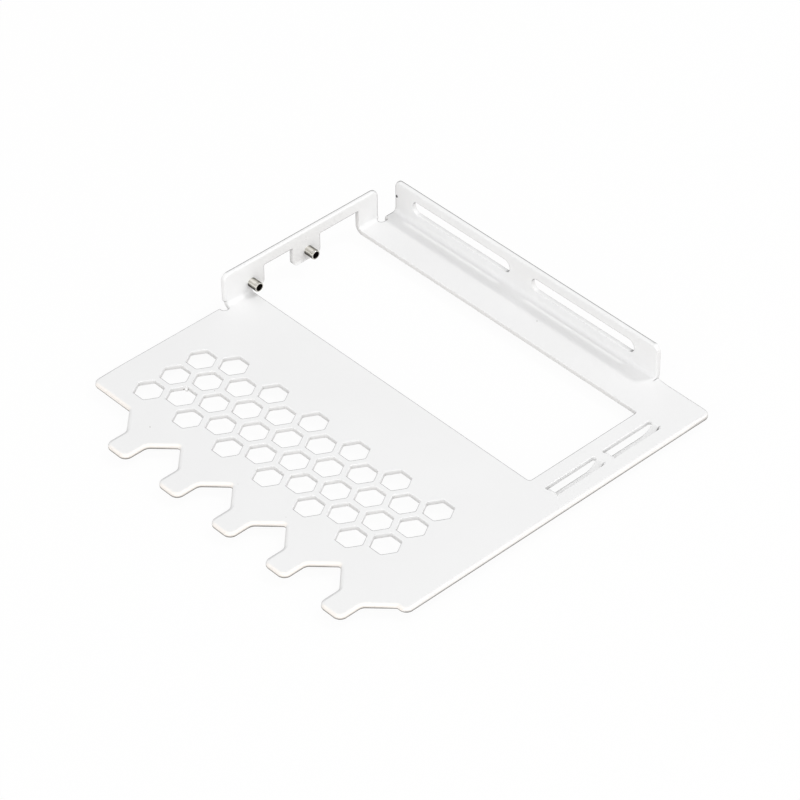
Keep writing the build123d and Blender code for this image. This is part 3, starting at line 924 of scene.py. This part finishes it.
def grown(name, tree, points, **values):
    """The plain mesh that a tree makes from points, with values for its named inputs."""
    start = bpy.data.meshes.new(name)
    start.from_pydata(points, [], [])
    carrier = new_piece(name + "_points", start)
    grower = carrier.modifiers.new("grow", "NODES")
    grower.node_group = tree
    for item in tree.interface.items_tree:
        if item.in_out == "INPUT" and item.name in values:
            grower[item.identifier] = values[item.name]
    mesh = as_mesh(carrier)
    print(name, "triangles:", sum(len(face.vertices) - 2 for face in mesh.polygons))
    return new_piece(name, mesh)


print("trees so far:", len(bpy.data.node_groups))

# %% [markdown]
# Each post has a fine thread inside, an M2 with a pitch of 0.4 mm. A tap cuts it. A thread is one ridge
# that follows a helix, so it is a spiral curve swept by a small section. Its sizes are inputs of the
# tree.

# %% Fine threads
THREAD_PITCH = 0.4 * MM
THREAD_RIDGE = 0.13 * MM
THREAD_TURNS = 10.5
THREAD_START = FLANGE_FACE + 0.2 * MM
THREAD_MIDDLE = THREAD_OUTER - 0.05 * MM

tree, given = new_tree("fine thread", "Pitch", "Turns", "Radius", "Ridge")
length = maths(tree, "MULTIPLY", given["Pitch"], given["Turns"])
helix = add(tree, "GeometryNodeCurveSpiral", {"Resolution": 36, "Rotations": given["Turns"], "Height": length,
                                              "Start Radius": given["Radius"], "End Radius": given["Radius"]})
section = add(tree, "GeometryNodeCurvePrimitiveCircle", {"Resolution": 6, "Radius": given["Ridge"]})
ridge = add(tree, "GeometryNodeCurveToMesh", {"Curve": helix.outputs["Curve"], "Fill Caps": True,
                                              "Profile Curve": section.outputs["Curve"]})
lying = add(tree, "GeometryNodeTransform", {"Geometry": ridge.outputs["Mesh"],
                                            "Rotation": (0.0, math.radians(90), 0.0)})
set_on_places(tree, given, lying.outputs["Geometry"])
starts = [(THREAD_START, y, POST_RISE) for y in POST_PLACES]
threads = grown("post_threads", tree, starts, Pitch=THREAD_PITCH, Turns=THREAD_TURNS,
                Radius=THREAD_MIDDLE, Ridge=THREAD_RIDGE, Finish=plating)
keep(threads, plating, "plated_steel")
print("thread length in mm:", round(THREAD_PITCH * THREAD_TURNS / MM, 2))

# %% [markdown]
# A little grit settles on wet powder and bakes in. The photograph shows a handful of such grains on the plate
# and two on the side flange. A bead of coat hangs at the lower edge of one honeycomb hole, and the dark
# specks on both sides of it are its shadow, painted as dark grains. Grit is greyish brown, mottled and dull.

# %% Finish of the grit and of the painted bead shadow
GRIT_TONES = ("8F8A84", "B9B5AF")
MOTTLE_LENGTH = 0.1 * MM
GRIT_ROUGHNESS = 0.5

grit, tree, shader = new_finish("grit and painted bead shadow")
place = add(tree, "ShaderNodeTexCoord").outputs["Object"]
mottle = noise(tree, place, MOTTLE_LENGTH, detail=2.0)
tree.links.new(mixed(tree, mottle, paint(GRIT_TONES[0]), paint(GRIT_TONES[1])), shader.inputs["Base Color"])
shader.inputs["Roughness"].default_value = GRIT_ROUGHNESS
print("tones of the grit:", GRIT_TONES)

# %% [markdown]
# Grains are small domes sunk in the coat, and the same dark domes beside the bead stand in for its painted
# shadow. One tree sets a little ball at each place, partly under the surface, and gives each its own size.
# The bead is the same ball, larger and in the coat's own finish.

# %% Grit, bead and painted bead shadow in the coat
GRAIN, GRAIN_LEAST, GRAIN_MOST, GRAIN_SEED = 0.15 * MM, 0.7, 1.1, 7
PLATE_GRAIN_HEIGHT = 3.74
SIDE_GRAIN_FACE = -59.13
PLATE_GRAINS = ((-34.88, -48.49), (-34.38, -27.0), (-2.68, -46.56), (14.92, -46.02), (2.87, 53.77))
SIDE_GRAINS = ((27.19, 11.46), (27.16, 10.62))
# painted shadow: dark grains on both sides of the bead stand for its shadow on the hole's wall
BEAD_SHADOW_SPECKS = ((-41.28, -31.76, 2.78), (-41.2, -31.66, 2.95), (-40.15, -31.0, 3.1), (-40.35, -31.0, 3.0))
BEAD = 0.5 * MM
BEAD_PLACE = (-40.74, -31.22, 2.72)

tree, given = new_tree("grit and bead shadow balls", "Grain")
ball = add(tree, "GeometryNodeMeshIcoSphere", {"Radius": given["Grain"], "Subdivisions": 3})
size = add(tree, "FunctionNodeRandomValue", {"Min": GRAIN_LEAST, "Max": GRAIN_MOST, "Seed": GRAIN_SEED},
           data_type="FLOAT")
set_on_places(tree, given, ball.outputs["Mesh"], Scale=size.outputs[1])

spots = [(x, y, PLATE_GRAIN_HEIGHT) for x, y in PLATE_GRAINS]
spots += [(SIDE_GRAIN_FACE, y, z) for y, z in SIDE_GRAINS]
spots += BEAD_SHADOW_SPECKS
spots = [tuple(v * MM for v in spot) for spot in spots]
grains = grown("grit_and_bead_shadow", tree, spots, Grain=GRAIN, Finish=grit)
keep(grains, grit, "white_powder_coat")
beads = grown("coat_bead", tree, [tuple(v * MM for v in BEAD_PLACE)], Grain=BEAD, Finish=coat)
keep(beads, coat, "white_powder_coat")
print("grains:", len(spots))

# %% [markdown]
# The photograph's table is a white sweep. A floor of pale paint does that work: lamps and shadow fall on
# it as on any paint, and rays from the camera, from metal and through glass see it mostly as even white,
# with the object's shadow still faint in it.

# %% White floor
FLOOR_SIZE = 8.0
FLOOR_DROP = 0.05 * MM
FLOOR_TONES = ("CCC8C4", "F4F3F2")
EVEN_SHARE = 0.95

work = bmesh.new()
bmesh.ops.create_grid(work, x_segments=8, y_segments=8, size=FLOOR_SIZE / 2)
mesh = bpy.data.meshes.new("floor")
work.to_mesh(mesh)
work.free()
floor = new_piece("floor", mesh)
floor.location.z = -FLOOR_DROP
pale = bpy.data.materials.new("matt white table paint")
pale.use_nodes = True
tree = pale.node_tree
tree.nodes.clear()
ray = add(tree, "ShaderNodeLightPath").outputs
seen = maths(tree, "MAXIMUM", ray["Is Camera Ray"], ray["Is Glossy Ray"])
seen = maths(tree, "MAXIMUM", seen, ray["Is Transmission Ray"])
tint = mixed(tree, seen, paint(FLOOR_TONES[0]), paint(FLOOR_TONES[1]))
film = add(tree, "ShaderNodeBsdfDiffuse", {"Color": tint}).outputs["BSDF"]
even = add(tree, "ShaderNodeEmission", {"Color": paint("FFFFFF"), "Strength": 1.0}).outputs["Emission"]
both = add(tree, "ShaderNodeMixShader", {0: maths(tree, "MULTIPLY", seen, EVEN_SHARE), 1: film, 2: even})
add(tree, "ShaderNodeOutputMaterial", {"Surface": both.outputs["Shader"]})
floor.data.materials.append(pale)
print("floor side in metres:", FLOOR_SIZE)

# %% [markdown]
# The light is a white room with its windows behind the camera: a bright wall on that side, and a dimmer
# wall and ceiling elsewhere. A world background does it with two soft steps, by the way that a ray goes.

# %% White room
BRIGHT_WALL, DIM_WALL, CEILING = "FFFFFF", "B4B4B4", "B6B6B6"
WALL_STEP = (-0.4, 0.4)
CEILING_STEP = (0.3, 0.9)
ROOM_STRENGTH = 1.25

world = bpy.data.worlds.new("white room")
bpy.context.scene.world = world
world.use_nodes = True
tree = world.node_tree
tree.nodes.clear()
way = add(tree, "ShaderNodeTexCoord").outputs["Generated"]
up = add(tree, "ShaderNodeSeparateXYZ", {"Vector": way}).outputs["Z"]
side = vector_maths(tree, "DOT_PRODUCT", way, NEAR_SIDE)["Value"]
wall = mixed(tree, ranged(tree, side, *WALL_STEP), paint(DIM_WALL), paint(BRIGHT_WALL))
shade = mixed(tree, ranged(tree, up, *CEILING_STEP), wall, paint(CEILING))
room = add(tree, "ShaderNodeBackground", {"Color": shade, "Strength": ROOM_STRENGTH})
add(tree, "ShaderNodeOutputWorld", {"Surface": room.outputs["Background"]})
print("strength of the room:", ROOM_STRENGTH)

# %% [markdown]
# A small lamp high behind the rear flange draws the short shadow along the fold and sends two bright
# stripes through its slots. Broad lamps above, in front and at the right fill in. A table holds them all:
# the way to each lamp, its distance and size in metres, and its power.

# %% Lamps
LAMPS = (("key lamp", (0.25, 0.49, 0.84), 1.2, 0.12, 2.7),
         ("top lamp", (0.1, -0.1, 1.0), 1.1, 0.9, 1.1),
         ("front lamp", (0.3, -0.85, 0.43), 1.2, 0.8, 2.3),
         ("right lamp", (0.85, 0.2, 0.45), 1.2, 0.8, 0.95))

for name, towards, distance, size, watts in LAMPS:
    light = bpy.data.lights.new(name, "AREA")
    light.shape = "SQUARE"
    light.size = size
    light.energy = watts
    holder = bpy.data.objects.new(name, light)
    bpy.context.scene.collection.objects.link(holder)
    back = Vector(towards).normalized()
    holder.location = back * distance
    holder.rotation_euler = (-back).to_track_quat("-Z", "Y").to_euler()
    print(name, "at", [round(v, 2) for v in holder.location], "m,", watts, "W")

# %% [markdown]
# The camera stands where the photograph's camera stood, to the front right and well above. Its place,
# aim, roll and focal length were fitted to the honeycomb and to the plate's edges, so the two pictures
# lie on each other.

# %% Camera
CAMERA_PLACE = Vector((529.988, -479.924, 612.520)) * MM
CAMERA_AIM = Vector((1.517, 5.329, 3.8)) * MM
CAMERA_ROLL = math.radians(-0.648)
LENS, SENSOR = 163.648, 36.0

camera = bpy.data.cameras.new("camera")
camera.lens = LENS
camera.sensor_width = SENSOR
camera.clip_start = 0.01
camera.clip_end = 50.0
holder = bpy.data.objects.new("camera", camera)
bpy.context.scene.collection.objects.link(holder)
look = (CAMERA_AIM - CAMERA_PLACE).to_track_quat("-Z", "Y").to_matrix().to_4x4()
holder.matrix_world = Matrix.Translation(CAMERA_PLACE) @ look @ Matrix.Rotation(CAMERA_ROLL, 4, "Z")
bpy.context.scene.camera = holder
bpy.context.scene.view_settings.view_transform = "Standard"
print("camera distance in mm:", round((CAMERA_AIM - CAMERA_PLACE).length / MM, 1))
